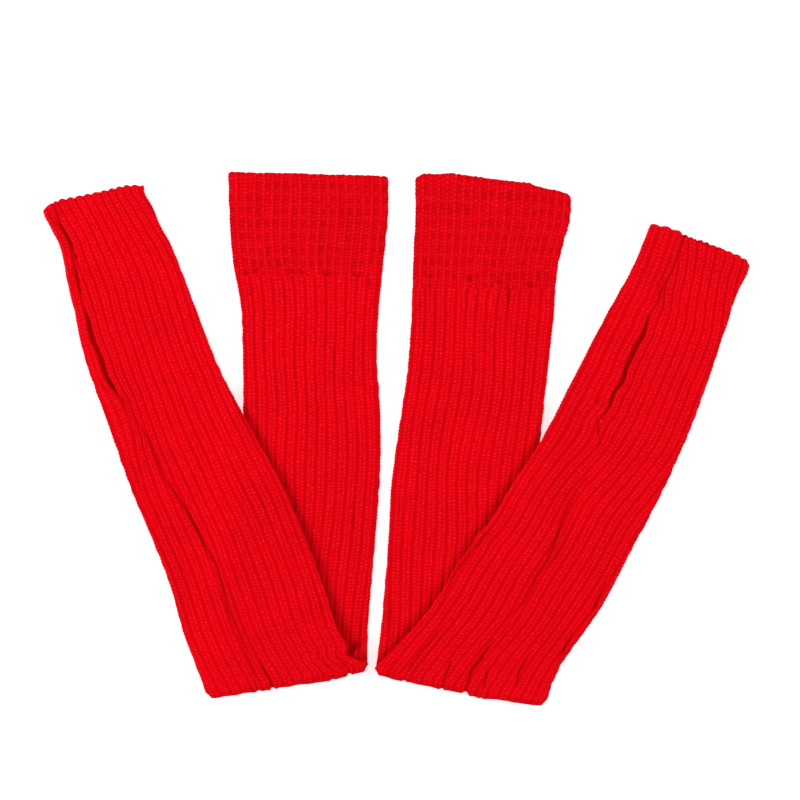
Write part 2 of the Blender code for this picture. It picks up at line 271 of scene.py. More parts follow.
LEFT_UNDER_CREASES = creases(
    (1, 2.6, (-64, 171), (-64, 153)),
    (1.8, 1.6, (-131, 147.5), (-131, 142)),
    (2.1, 1.7, (-124, 146.5), (-119, 146)),
    (2, 1.5, (-92, 146), (-88.5, 145)),
    (2, 1.4, (-82.5, 147), (-81.5, 143)),
    (2.5, 1.9, (-63, 144.5), (-58, 142.5)),
    (2.2, 1.6, (-35.5, 143), (-30, 141.5)),
    (1.8, 1.4, (-22, 141), (-22, 131)),
    (-0.9, 1.6, (-137, 150.5), (-135, 147)),
    (-0.8, 1.4, (-127, 152), (-124.5, 149.5)),
    (-1, 1.7, (-115, 149), (-113, 145.5)),
    (-0.8, 1.5, (-104, 147.5), (-103.5, 144)),
    (-0.9, 1.6, (-97.5, 152), (-95.5, 148.5)),
    (-0.9, 1.5, (-76, 150.5), (-73.5, 147.5)),
    (-0.8, 1.4, (-67.5, 149.5), (-68, 146)),
    (-1, 1.6, (-54, 147.5), (-51.5, 144.5)),
    (-0.8, 1.5, (-41, 148.5), (-38.5, 146)),
    (-0.9, 1.6, (-27, 146), (-24.5, 143)),
    (1.2, 3, (-30, -150), (-30.5, -170), (-31, -182)),
    (2.6, 2.6, (-41, -186), (-34, -180.5)),
    (-2.8, 4.2, (-38, -195), (-29, -189), (-18, -184)),
    (0.9, 2.2, (-38, -40), (-36, -80), (-36, -120)),
)
LEFT_OVER_CREASES = creases(
    (
        2.4, 1.9,
        (-238, 32), (-227, 17), (-215, -2), (-201, -36), (-185, -60), (-165, -95),
        (-155, -113), (-145, -149), (-133, -177), (-125, -200), (-119, -220),
    ),
    (1.3, 2.4, (-242, 26), (-231, 4)),
    (1.3, 2.2, (-240, -4), (-221, -42), (-214, -59)),
    (2.2, 1.4, (-118, -195), (-105, -219)),
    (1.6, 1.4, (-66, -188), (-56, -204)),
    (1.9, 1.4, (-50, -192), (-37, -205)),
    (2.2, 2, (-300, 195), (-290, 181), (-284, 170), (-280, 158)),
    (1.9, 2, (-280, 158), (-278, 137), (-272, 120)),
    (-1, 3.2, (-304, 190), (-294, 172), (-286, 152), (-283, 132)),
    (1.9, 1.5, (-258, 47), (-243, 35)),
    (1.5, 1.4, (-256, 56), (-245, 43)),
    (-0.9, 2.6, (-254, 40), (-240, 27)),
)
RIGHT_UNDER_CREASES = creases(
    (1.9, 1.8, (29, 141.5), (32.5, 140)),
    (1.3, 1.5, (30.5, 137), (30.5, 123)),
    (1.5, 1.8, (22, 122), (21.5, 109)),
    (2.4, 1.9, (63, 140), (67, 138.5)),
    (2.1, 1.7, (88, 137.5), (93.5, 135.5)),
    (1.7, 1.6, (98.5, 137), (98.5, 112)),
    (2.4, 1.9, (116, 134.5), (120.5, 132)),
    (-0.9, 1.6, (23, 147), (25.5, 144)),
    (-0.8, 1.5, (34.5, 146.5), (37, 143.5)),
    (-0.9, 1.4, (44, 147.5), (44.5, 144)),
    (-1, 1.7, (57, 147.5), (60, 143.5)),
    (-0.8, 1.4, (73, 145), (75.5, 142)),
    (-1, 1.6, (82, 143), (84, 139)),
    (-0.8, 1.5, (95, 143), (98, 140.5)),
    (-0.9, 1.6, (108, 140), (111, 137)),
    (-0.8, 1.4, (126, 138), (128.5, 135)),
    (1, 2, (46, 118), (46, 100)),
    (1.3, 2.2, (5, -54), (5, -78)),
    (1.3, 2.4, (-4, -137), (-3, -156), (-2, -176)),
)
RIGHT_OVER_CREASES = creases(
    (
        2.2, 1.8,
        (167, -35), (154, -54), (145, -72), (141, -85), (132, -107), (123, -121),
        (112, -143), (99, -158), (94, -173),
    ),
    (1.9, 1.7, (186, -121), (178, -139), (171, -157)),
    (2.9, 2, (84, -178), (74, -193), (66, -203), (63, -213), (62.5, -219)),
    (2.4, 1.5, (80, -85), (67, -97), (60, -107), (52, -118), (46, -131), (41.5, -141)),
    (2.1, 1.3, (42, -163), (30, -178), (21, -188), (8, -207)),
    (-1, 3.6, (84, -76), (78, -80), (58, -98), (45, -121), (39, -141)),
    (-1, 3.4, (39, -141), (32, -146), (18, -160), (6, -172)),
    (2.3, 1.4, (50, -190), (46, -201), (40, -216)),
    (2.1, 1.5, (118, -186), (107, -205), (105, -221)),
    (2.1, 1.3, (81, -200), (76, -221)),
    (1.9, 1.6, (155, -170), (148, -183), (141, -199)),
    (1.3, 1.4, (173, 36), (183.5, 24)),
    (1.6, 1.4, (176, 32), (177, 12), (179, -6), (172, -22)),
    (1.3, 1.6, (190, 34), (184, 22), (175, 4)),
    (1.4, 2.6, (249, 178), (245, 166), (234, 143), (228, 123), (222, 107)),
    (-1.1, 3.6, (243, 178), (238, 164), (229, 144), (223, 124)),
)

# How the ribs flow along each stretch: the length along it in millimetres, how many ribs show on
# the face there, and how far they have turned round the tube, in ribs.
Flow = namedtuple("Flow", "length seen turn")

UNDER_FLOW = table(Flow, (89, 13, 0), (330, 13, 0), (450, 14.5, 0))
LEFT_OVER_FLOW = table(
    Flow,
    (0, 15, 0),
    (60, 14, 0),
    (200, 13, 0),
    (320, 12.4, 0.083),
    (370, 12, 0.083),
    (460, 11.5, 0.083),
)
RIGHT_OVER_FLOW = table(
    Flow,
    (0, 15, 0),
    (60, 14, 0),
    (200, 13, 0),
    (280, 12.6, 0.333),
    (360, 12, 0.333),
    (440, 11, 0.333),
)

# Where one edge of the over stretch draws in: the side, the length along the stretch, how far the
# pinch reaches along it, and how far the edge moves in, in millimetres.
Pinch = namedtuple("Pinch", "side length reach amount")

LEFT_PINCHES = table(
    Pinch,
    (1, 12, 7.5, 8.5),
    (1, 34, 20, 4.2),
    (1, 446, 10, 3.4),
    (1, 471, 8, -2.2),
    (-1, 445, 14, -0.8),
    (-1, 386, 16, -1.2),
)
RIGHT_PINCHES = table(
    Pinch,
    (-1, 94, 26, -3),
    (-1, 66, 5, -1),
    (-1, 127, 6, -1.4),
    (-1, 150, 14, 1.2),
    (1, 55, 26, 1.6),
    (1, 386, 16, -1),
    (1, 432, 6, -1.6),
)

# How far an end of the tube stands out past its section line: place on the face from -1 to 1 and
# millimetres.
LEFT_CUFF_EDGE = ((-1, 0.9), (-0.88, 0.9), (-0.82, 0.2), (-0.1, 0.3), (0.1, -0.3), (1, -0.4))
RIGHT_CUFF_EDGE = (
    (-1, -0.9), (-0.93, 0.6), (-0.77, -1.2), (-0.56, 0.3), (-0.35, -0.4), (0.2, 0.2), (0.48, 1.5),
    (0.56, -0.2), (0.7, -0.1), (0.84, 1.4), (1, 2.6),
)
LEFT_FOLD_EDGE = ((-1, -1.2), (-0.8, -0.4), (-0.4, 0.3), (0, 1.1), (0.7, 1.4), (0.85, 0.5), (1, -1))
RIGHT_FOLD_EDGE = (
    (-1, -1.6), (-0.85, 0.2), (-0.3, 0.5), (0.04, 0.3), (0.08, 0.6), (0.13, 2.6), (0.28, 2.3),
    (0.45, 1.2), (0.9, 1), (1, 0),
)
LEFT_FOOT_EDGE = ((-1, 0), (-0.86, 2.2), (-0.64, 2), (-0.4, 0.8), (0.2, 0.2), (0.7, 1.1), (1, 0.4))
RIGHT_FOOT_EDGE = (
    (-1, 0.4), (-0.7, 1), (-0.45, 0.7), (-0.36, -1.4), (-0.3, 0.3), (-0.1, -1.2), (0.2, 0.2),
    (0.32, 1.8), (0.45, 1), (0.8, 2.8), (0.95, 3), (1, 1.6),
)

# One row for each leg warmer. leaves_to is the side on which the over stretch leaves the under
# stretch, slit_rib the valley between ribs that the heel slit follows, and slit_face its place
# across the face from -1 to 1. slit_lean is how far its end towards the fold leans over, in ribs.
# tucked is how many ribs hide in the crease at the foot's end, and tuck_shade how dark the painted
# shade in that crease is.
LegWarmer = namedtuple(
    "LegWarmer",
    "name under over leaves_to cuff_ribs band_length slit_rib slit_face slit_lean under_creases"
    " over_creases flow tucked tuck_shade pinches cuff_edge fold_edge foot_edge seed",
)
PAIR = (
    LegWarmer(
        "left", LEFT_UNDER, LEFT_OVER, -1, 17, 84, 1, -5 / 6, 0.95,
        LEFT_UNDER_CREASES, LEFT_OVER_CREASES, LEFT_OVER_FLOW, 1.6, 0.3,
        LEFT_PINCHES, LEFT_CUFF_EDGE, LEFT_FOLD_EDGE, LEFT_FOOT_EDGE, 11,
    ),
    LegWarmer(
        "right", RIGHT_UNDER, RIGHT_OVER, 1, 18, 72, 3, -1 / 3, 0,
        RIGHT_UNDER_CREASES, RIGHT_OVER_CREASES, RIGHT_OVER_FLOW, 2.7, 0.6,
        RIGHT_PINCHES, RIGHT_CUFF_EDGE, RIGHT_FOLD_EDGE, RIGHT_FOOT_EDGE, 23,
    ),
)


def small_length(name, description, default, most, least=0.0):
    """Return a property for a length that is given here in millimetres."""
    return FloatProperty(
        name=name, description=description, default=default * MM, min=least * MM, max=most * MM,
        unit="LENGTH", precision=5,
    )


class KnitSettings(PropertyGroup):
    """Sizes of the knit."""

    rib_height: small_length("Rib height", "How far the leg's ribs stand up", 1.3, 3)
    band_height: small_length("Cuff relief", "How far the cuff's ribs and bands stand up", 1.1, 3)
    stitch_depth: small_length("Stitch depth", "How deep the grooves between stitches are", 0.45, 1)
    course: small_length("Course", "Length of one stitch along the tube", 3.06, 8, 1)
    lumps: small_length("Lumps", "How uneven the cloth lies", 0.35, 2)
    wander: FloatProperty(
        name="Rib wander", description="How far the ribs stray sideways, as a share of one rib",
        default=0.14, min=0.0, max=0.6, subtype="FACTOR",
    )


def plain_colour(name, description, default):
    """Return a property for a colour."""
    return FloatVectorProperty(
        name=name, description=description, default=default, min=0.0, max=1.0, subtype="COLOR",
    )


class YarnSettings(PropertyGroup):
    """Colours of the yarn."""

    leg_colour: plain_colour("Leg colour", "Colour of the leg's yarn", (0.84, 0.0, 0.005))
    cuff_colour: plain_colour("Cuff colour", "Colour of the cuff's yarn", (0.84, 0.0, 0.005))
    sheen: FloatProperty(
        name="Fuzz", description="How much the loose fibres catch the light",
        default=0.05, min=0.0, max=1.0, subtype="FACTOR",
    )


class StageSettings(PropertyGroup):
    """The floor, the light and the camera."""

    floor_colour: plain_colour("Floor colour", "Colour of the floor", (0.6, 0.6, 0.6))
    sky: FloatProperty(
        name="Sky light", description="Strength of the even light from all round", default=0.6, min=0.0,
    )
    key: FloatProperty(
        name="Side lamps", description="Power of each large lamp beside the cloth",
        default=22.0, min=0.0, unit="POWER",
    )
    view_width: FloatProperty(
        name="View width", description="Width that the camera sees at the cloth",
        default=0.7, min=0.1, unit="LENGTH",
    )


def smoothstep(value):
    """Ease from 0 to 1."""
    value = np.clip(value, 0, 1)
    return value * value * (3 - 2 * value)


def darken(shade, share):
    """Return the shade with a further share of the rest made dark."""
    return 1 - (1 - shade) * (1 - share)


def unevenness(seed, u, v, size):
    """Return smooth seeded waves of about -1 to 1, each about one size long."""
    draw = np.random.default_rng(seed)
    total = 0.0
    for _ in range(WAVES):
        turn, phase = draw.uniform(0, math.pi), draw.uniform(0, 2 * math.pi)
        pace = 2 * math.pi * draw.uniform(0.6, 1.5) / size
        total = total + np.sin(pace * (u * math.cos(turn) + v * math.sin(turn)) + phase)
    return total / WAVES**0.5


class Stretch:
    """A smooth run of sections, read by the length along its middle line."""

    def __init__(self, rows):
        self.rows = np.array(rows, dtype=float)
        steps = np.hypot(np.diff(self.rows[:, 0]), np.diff(self.rows[:, 1]))
        self.knots = np.append(0.0, np.cumsum(steps))
        self.slopes = np.gradient(self.rows, self.knots, axis=0)
        self.length = self.knots[-1]

    def at(self, lengths):
        """Return x, y, width, turn and bow at each length, on a cubic through the rows."""
        lengths = np.clip(lengths, 0.0, self.length)
        row = np.searchsorted(self.knots, lengths, side="right") - 1
        row = np.clip(row, 0, len(self.knots) - 2)
        span = self.knots[row + 1] - self.knots[row]
        t = ((lengths - self.knots[row]) / span)[:, None]
        span = span[:, None]
        return (
            (2 * t**3 - 3 * t**2 + 1) * self.rows[row]
            + (t**3 - 2 * t**2 + t) * span * self.slopes[row]
            + (3 * t**2 - 2 * t**3) * self.rows[row + 1]
            + (t**3 - t**2) * span * self.slopes[row + 1]
        )

    def edge(self, side):
        """Return the plan points of one edge, from the stretch's end to its start."""
        x, y, width, turn, _ = self.at(np.linspace(0.0, self.length, EDGE_POINTS)).T
        turn = np.radians(turn)
        x = x + side * width / 2 * np.cos(turn)
        y = y + side * width / 2 * np.sin(turn)
        return np.column_stack((x, y))[::-1]


def columns_round(ribs, steps, spare=0):
    """Return the places of the mesh columns round the tube, counted in ribs.

    The ribbed face runs from 0 to the number of ribs, and each rounded side is one rib more. The
    ring starts and ends in the middle of the underside. Spare ribs past the end are fine too.
    """
    start, end = -1 - ribs / 2, ribs + 1 + ribs / 2
    places = [start]
    for rib in range(math.floor(start), math.ceil(end)):
        for step in steps if -1 <= rib <= ribs + spare else HIDDEN_STEPS:
            if start + 0.2 < rib + step < end - 0.2:
                places.append(rib + step)
    return np.array(places + [end])


def courses(start, end, course):
    """Return even lengths from start to end, a fixed number to each stitch."""
    count = max(2, round((end - start) * ROWS_PER_COURSE / course))
    return np.linspace(start, end, count + 1)


def mouth_rows(lengths, at_start):
    """Add a rounded rim and a lining inside it, and return lengths and insets through the wall."""
    angles = np.linspace(math.pi, 0.0, RIM_ROWS)[1:-1]
    inside = np.linspace(LINING, WALL / 2, LINING_ROWS)
    rim = WALL / 2 * (1 - np.sin(angles))
    offsets = np.append(inside, rim)
    insets = np.append(np.ones(len(inside)), (1 - np.cos(angles)) / 2)
    if at_start:
        kept = lengths[lengths > WALL / 2]
        return np.append(lengths[0] + offsets, kept), np.append(insets, np.zeros(len(kept)))
    kept = lengths[lengths < lengths[-1] - WALL / 2]
    added = (lengths[-1] - offsets)[::-1]
    return np.append(kept, added), np.append(np.zeros(len(kept)), insets[::-1])


def crease_depth(creases, x, y):
    """Return how deep the creases press into the cloth, with a soft ridge beside each."""
    depth = np.zeros_like(x)
    for crease in creases:
        points = np.array(crease.points)
        steps = np.append(0.0, np.cumsum(np.hypot(*np.diff(points, axis=0).T)))
        reach = CREASE_REACH * crease.half_width
        low, high = points.min(axis=0) - reach, points.max(axis=0) + reach
        near = (x > low[0]) & (x < high[0]) & (y > low[1]) & (y < high[1])
        if not near.any():
            continue
        t = np.linspace(0.0, 1.0, max(8, int(steps[-1] / CREASE_STEP)))
        line_x = np.interp(t * steps[-1], steps, points[:, 0])
        line_y = np.interp(t * steps[-1], steps, points[:, 1])
        away = np.hypot(x[near][:, None] - line_x, y[near][:, None] - line_y)
        fade = np.sin(math.pi * np.clip(t[away.argmin(axis=-1)], 0.08, 0.92)) ** 0.5
        away = away.min(axis=-1) / crease.half_width
        ridge = RIDGE_SHARE * np.exp(-(((away - RIDGE_PLACE) / RIDGE_WIDTH) ** 2))
        depth[near] += crease.depth * fade * (np.exp(-(away**2)) - ridge)
    return depth


def leg_relief(places, lengths, stitches, knit, seed):
    """Return the height and the shade of two by two rib: two chains of stitches on each rib."""
    rib = places - np.floor(places)
    strong = 1 + 0.6 * unevenness(seed + 7, np.rint(places) * 23.0, lengths, 90)
    split = 1 + 0.6 * unevenness(seed + 8, np.floor(places) * 31.0, lengths, 70)
    from_valley = np.minimum(rib, 1 - rib)
    crest = smoothstep(from_valley / 0.22)
    offset, _, half = LEG_CHAIN
    beside = (np.abs(rib - 0.5) - offset) / half
    cord = np.clip(1 - beside**2, 0, 1) ** 0.5
    waves = 0.5 + 0.5 * np.cos(2 * math.pi * (stitches - STITCH_LEAN * np.abs(beside)))
    valley = np.exp(-((from_valley / 0.09) ** 2))
    broad = np.exp(-((from_valley / 0.2) ** 2))
    between = np.exp(-(((rib - 0.5) / 0.07) ** 2))
    height = knit.rib_height / MM * (0.6 * crest + 0.4 * cord) - 0.3 * (strong - 1) * valley
    height = height - knit.stitch_depth / MM * cord * (1 - waves)
    wide = 0.6 + 0.5 * unevenness(seed + 11, np.rint(places) * 37.0, lengths, 60)
    # Painted shade in the valleys between the ribs and in the gap between each rib's two chains.
    shade = LEG_VALLEY_SHADE * (strong * valley + wide * broad) + CHAIN_GAP_SHADE * split * between
    return height, np.clip(shade, 0, 1)


def cuff_relief(places, lengths, stitches, knit, seed):
    """Return the height and the painted shade, with some random tone, of the waffle: single chains
    crossed by raised bands.
    """
    rib = places - np.floor(places)
    bands = lengths / CUFF_DEPTH * CUFF_BANDS + 0.08 * unevenness(seed + 3, places * 8, lengths, 40)
    crest = (0.5 - 0.5 * np.cos(2 * math.pi * rib)) ** 1.3
    band = (0.5 - 0.5 * np.cos(2 * math.pi * bands)) ** 1.6
    dent = (1 - crest) ** 2 * (1 - band)
    offset, fold, half = CUFF_CHAIN
    beside = (fold - np.abs(np.abs(rib - 0.5) - offset)) / half
    cord = np.clip(1 - beside**2, 0, 1) ** 0.5
    waves = 0.5 + 0.5 * np.cos(2 * math.pi * (stitches - STITCH_LEAN * beside))
    height = knit.band_height / MM * (0.12 * cord + 0.7 * (1 - (1 - crest) * (1 - 0.85 * band)))
    height = height - knit.stitch_depth / MM * cord * (1 - waves)
    strong = 1 + 0.4 * unevenness(seed + 9, places * 8, lengths, 26)
    rows = 1 + 0.4 * unevenness(seed + 10, np.rint(places) * 19.0, lengths, 60)
    stripes = 0.5 + 0.5 * unevenness(seed + 12, np.rint(places * 4) * 17.0, lengths, 50)
    # Painted shade in the dents between the bands and along the valleys, and random darker stripes that
    # are the yarn's own tone.
    shade = CUFF_DENT_SHADE * strong * dent + 0.08 * rows * (1 - crest) + 0.12 * stripes
    return height, np.clip(shade, 0, 1)


class Tube:
    """The points of one piece, row by row along the tube and column by column round it."""

    relief = shade = under_drop = lip_across = lip_depth = push = 0.0
    pinches = ()

    def __init__(self, ribs, places, lengths, insets, stations, seed):
        self.ribs = ribs
        self.places = places[None, :] + np.zeros((len(lengths), 1))
        self.lengths = lengths[:, None]
        self.insets = insets[:, None]
        self.stations = stations
        self.seed = seed
        # The pieces of one leg warmer share the waves that cross their seams.
        self.shared_seed = seed % 100

    def stray(self, amount, flow=None, calm=0.0):
        """Let the ribs flow round the tube along it and wander sideways on the upper face.

        They wander less within the calm length from the start.
        """
        middle, half = self.ribs / 2, self.ribs + 1
        moved = self.places
        if flow:
            at, seen, turned = np.array(flow).T
            seen = np.interp(self.lengths, at, seen)
            turned = np.interp(self.lengths, at, turned)
            spread = self.ribs / seen
            share = (self.places - middle) / half
            moved = middle + half * (spread * share + (1 - spread) * share**5) + turned
        inside = np.clip(self.places / self.ribs, 0, 1)
        window = np.sin(math.pi * inside) ** 0.6
        wave = unevenness(self.seed, self.places * 5, self.lengths, WANDER_WAVE)
        wiggle = unevenness(self.seed + 2, self.places * 9, self.lengths, WIGGLE_WAVE)
        if calm:
            wave = wave * (0.25 + 0.75 * smoothstep(self.lengths / calm))
        self.moved = moved + window * amount * (wave + WIGGLE_SHARE * wiggle)

    def stitch_count(self, course, chain_start=0.0):
        """Return how many stitches lie before each point, each chain out of step with the next."""
        chain = np.floor(2 * (self.places - chain_start)) * 17.0
        apart = CHAIN_DRIFT * unevenness(self.seed + 14, chain, self.lengths, 70)
        jitter = STITCH_JITTER * unevenness(self.seed + 4, self.places * 9, self.lengths, 10)
        return self.lengths / course + apart + jitter

    def knit_leg(self, knit, stitches):
        """Give the tube the leg's rib, with its crests as high as the solid's."""
        height, self.shade = leg_relief(self.places, self.lengths, stitches, knit, self.seed)
        self.relief = height - (knit.rib_height / MM - RIB_TOP)
        self.under_drop = RIB_TOP

    def ease_seam(self, away):
        """Let the relief settle towards the seam that lies this far along the tube, and its painted
        shade fade there.
        """
        share = SEAM_SHARE + (1 - SEAM_SHARE) * smoothstep(away / SEAM_REACH)
        self.relief = SEAM_LEVEL + (self.relief - SEAM_LEVEL) * share
        self.shade = self.shade * share

    def shade_rim(self):
        """Paint shade on the rounded rim of the open end and the lining inside it."""
        self.shade = darken(self.shade, MOUTH_SHADE * smoothstep(self.insets / 0.3))

    def face(self):
        """Return the place of each column across the ribbed face, from -1 to 1."""
        return np.clip(2 * self.moved / self.ribs - 1, -1, 1)

    def side_angle(self):
        """Return the turn of each column round its rounded side, from straight up."""
        return math.pi * (np.clip(self.moved - self.ribs, 0, 1) + np.clip(self.moved, -1, 0))

    def end_shape(self, edge):
        """Return how far the tube's end stands out at each column."""
        return np.interp(self.face(), *np.array(edge).T)

    def plan(self, creases, lumps):
        """Return x, y, the rise over the plain underside, and the turn."""
        x, y, width, turn, bow = (column[:, None] for column in self.stations.T)
        turn = np.radians(turn)
        place, ribs = self.moved, self.ribs
        face = np.where(place > ribs + 1, 1 - 2 * (place - ribs - 1) / ribs, self.face())
        face = np.where(place < -1, -1 - 2 * (place + 1) / ribs, face)
        angle = self.side_angle()
        upward = np.cos(angle)
        relief = self.relief - self.under_drop * (1 - upward) / 2
        reach = SIDE_RADIUS - self.insets * WALL + relief * (1 - self.insets)
        across = face * (width / 2 - SIDE_RADIUS) + reach * np.sin(angle) + self.lip_across
        for pinch in self.pinches:
            bump = np.exp(-(((self.lengths - pinch.length) / pinch.reach) ** 2))
            near_edge = smoothstep((pinch.side * face - 0.1) / 0.9)
            across = across - pinch.side * pinch.amount * bump * near_edge
        wobble = unevenness(self.shared_seed + 17, 60 * np.sign(face), self.lengths, EDGE_WAVE)
        across = across + EDGE_WOBBLE * wobble * np.abs(face) ** 5
        along = bow * (1 - np.clip(np.abs(2 * across / width), 0, 1) ** BOW_POWER) + self.push
        plan_x = x + across * np.cos(turn) - along * np.sin(turn)
        plan_y = y + across * np.sin(turn) + along * np.cos(turn)
        rise = SIDE_RADIUS + reach * upward - self.lip_depth
        pressed = crease_depth(creases, plan_x, plan_y)
        # Painted shade in the creases, on the upward faces only.
        folded = np.clip(pressed / CREASE_FULL_SHADE, 0, 1) ** 2 * np.clip(upward, 0, 1)
        self.shade = darken(self.shade, CREASE_SHADE * folded)
        pressed = pressed - lumps * unevenness(self.shared_seed + 1, plan_x, plan_y, 42)
        rise = rise - pressed * np.clip(upward, 0, 1) * (1 - self.insets)
        return plan_x, plan_y, rise, turn


def to_metres(x, y, z):
    """Move points from the tables' millimetres to the frame's metres."""
    return np.stack(((x - MIDDLE_X) * MM, (y - MIDDLE_Y) * MM, z * MM), axis=-1)


def add_object(name, data):
    """Make an object at the origin and link it to the scene."""
    made = bpy.data.objects.new(name, data)
    bpy.context.scene.collection.objects.link(made)
    return made


def flat_grid(name, columns, rows, half_width):
    """Make a flat square grid with so many faces either way."""
    sheet = bmesh.new()
    bmesh.ops.create_grid(sheet, x_segments=columns, y_segments=rows, size=half_width)
    mesh = bpy.data.meshes.new(name)
    sheet.to_mesh(mesh)
    sheet.free()
    return mesh


def knit_piece(name, points, tube, stitches_along, material):
    """Make one piece from a grid whose vertices move to the given points."""
    rows, columns = points.shape[:2]
    mesh = flat_grid(name, columns - 1, rows - 1, 1.0)
    flat = np.empty(len(mesh.vertices) * 3, dtype=np.float32)
    mesh.vertices.foreach_get("co", flat)
    flat = flat.reshape(-1, 3)
    column = np.rint((flat[:, 0] + 1) / 2 * (columns - 1)).astype(int)
    row = np.rint((flat[:, 1] + 1) / 2 * (rows - 1)).astype(int)
    mesh.vertices.foreach_set("co", points[row, column].astype(np.float32).ravel())
    corner = np.empty(len(mesh.loops), dtype=np.int32)
    mesh.loops.foreach_get("vertex_index", corner)
    stitches = np.stack((tube.places[row, column], stitches_along[row, column]), axis=-1)
    layer = mesh.uv_layers.new(name="stitches")
    layer.data.foreach_set("uv", stitches[corner].astype(np.float32).ravel())
    # The shade attribute carries the painted shade, with some random tone on the cuffs, to the
    # material.
    shade = mesh.attributes.new("shade", "FLOAT", "POINT")
    shade.data.foreach_set("value", tube.shade[row, column].astype(np.float32))
    edge = set(np.flatnonzero((column == 0) | (column == columns - 1)).tolist())
    sheet = bmesh.new()
    sheet.from_mesh(mesh)
    seam = [vertex for vertex in sheet.verts if vertex.index in edge]
    bmesh.ops.remove_doubles(sheet, verts=seam, dist=0.01 * MM)
    bmesh.ops.recalc_face_normals(sheet, faces=sheet.faces)
    sheet.to_mesh(mesh)
    sheet.free()
    mesh.shade_smooth()
    mesh.materials.append(material)
    return add_object(name, mesh)


def add_piece(warmer, part, points, tube, stitches):
    """Knit one piece, hide the solid it stands for and hang the piece on the root body."""
    node = f"{warmer.name}_{part}"
    yarn = bpy.context.scene.leg_yarn
    kind, colour, chain = "leg", yarn.leg_colour, LEG_CHAIN
    if part == "knee_cuff":
        kind, colour, chain = "cuff", yarn.cuff_colour, CUFF_CHAIN
    name = f"{warmer.name}_{kind}_knit"
    material = bpy.data.materials.get(name)
    if not material:
        material = yarn_material(name, tuple(colour), yarn.sheen, chain)
    piece = knit_piece(f"{node}_knit", points, tube, stitches, material)
    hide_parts(node)
    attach(piece, "root")


class Nodes:
    """Adds and links the nodes of one material."""

    def __init__(self, name):
        self.material = bpy.data.materials.new(name)
        self.material.use_nodes = True
        self.tree = self.material.node_tree
        self.shader = self.tree.nodes["Principled BSDF"]

    def add(self, kind, inputs=(), **settings):
        node = self.tree.nodes.new(f"ShaderNode{kind}")
        for key, value in settings.items():
            setattr(node, key, value)
        for place, value in dict(inputs).items():
            self.put(node.inputs[place], value)
        return node

    def put(self, socket, value):
        if isinstance(value, bpy.types.NodeSocket):
            self.tree.links.new(value, socket)
        else:
            socket.default_value = value

    def math(self, operation, *values):
        return self.add("Math", enumerate(values), operation=operation).outputs[0]

    def mix(self, share, first, second):
        inputs = {"Factor": share, "A": first, "B": second}
        return self.add("Mix", inputs, data_type="RGBA").outputs["Result"]

    def noise(self, scale, detail=2.0):
        place = self.add("TexCoord").outputs["Object"]
        inputs = {"Vector": place, "Scale": scale, "Detail": detail}
        return self.add("TexNoise", inputs).outputs[0]

    def surface(self, **inputs):
        for name, value in inputs.items():
            self.put(self.shader.inputs[name.replace("_", " ")], value)

    def ramp(self, value, low, high, to_low=0.0, to_high=1.0):
        inputs = enumerate((value, low, high, to_low, to_high))
        return self.add("MapRange", inputs).outputs[0]


def yarn_material(name, colour, fuzz, chain):
    """Red yarn whose stitches, gaps and valleys follow the piece's own stitch map."""
    offset, fold, half = chain
    knit = Nodes(name)
    uv = knit.add("UVMap", uv_map="stitches").outputs["UV"]
    parts = knit.add("SeparateXYZ", {0: uv})
    rib = knit.math("FRACT", parts.outputs["X"])
    from_middle = knit.math("ABSOLUTE", knit.math("SUBTRACT", rib, 0.5))
    beside = knit.math("ABSOLUTE", knit.math("SUBTRACT", from_middle, offset))
    beside = knit.math("ABSOLUTE", knit.math("SUBTRACT", beside, fold))
    beside = knit.math("DIVIDE", beside, half)
    fibres, plies, patches = knit.noise(1300.0, 3.0), knit.noise(420.0), knit.noise(24.0)
    frayed = knit.math("MULTIPLY", plies, 1.2)
    lean = knit.math("ADD", knit.math("MULTIPLY", beside, STITCH_LEAN), frayed)
    turns = knit.math("MULTIPLY", knit.math("SUBTRACT", parts.outputs["Y"], lean), 2 * math.pi)
    wave = knit.ramp(knit.math("COSINE", turns), -1.0, 1.0)
    cord = knit.ramp(beside, 0.35, 1.1, 1.0, 0.0)
    shade = knit.add("Attribute", attribute_name="shade").outputs["Fac"]

    plain = tuple(colour) + (1.0,)
    # The deep colour serves both the yarn's random tone and the painted shade, and the lit colour is a
    # painted highlight.
    deep = (0.4 * colour[0], 0.0, 0.25 * colour[2], 1.0)
    lit = (min(1.0, 1.38 * colour[0]), colour[1] + 0.012, colour[2] + 0.022, 1.0)
    base = plain
    # Random tone in patches, plies and fibres, and painted shade in the gaps beside the chains where
    # the cord is low.
    for value, low, high, share in (
        (patches, 0.3, 0.7, 0.12),
        (cord, 0.0, 0.7, 0.13),
        (plies, 0.35, 0.65, 0.18),
        (fibres, 0.38, 0.6, 0.2),
    ):
        base = knit.mix(knit.ramp(value, low, high, share, 0.0), base, deep)
    # Painted highlight on the crest of each stitch, broken up by the fibres.
    speckle = knit.ramp(fibres, 0.4, 0.6)
    stitch = knit.math("MULTIPLY", knit.math("MULTIPLY", knit.ramp(wave, 0.35, 1.0), cord), speckle)
    base = knit.mix(knit.math("MULTIPLY", stitch, 0.9), base, lit)
    # Painted shade from the shade attribute.
    base = knit.mix(shade, base, deep)

    height = knit.math("MULTIPLY", wave, 0.4)
    for value, share in ((plies, 0.6), (fibres, 0.5)):
        height = knit.math("ADD", height, knit.math("MULTIPLY", value, share))
    bump = knit.add("Bump", {"Height": height, "Distance": 0.35 * MM, "Strength": 0.6})
    knit.surface(
        Base_Color=base, Normal=bump.outputs[0], Roughness=0.92, Specular_IOR_Level=0.03,
        Sheen_Weight=fuzz, Sheen_Roughness=0.45, Sheen_Tint=(1.0, 0.03, 0.06, 1.0),
    )
    return knit.material


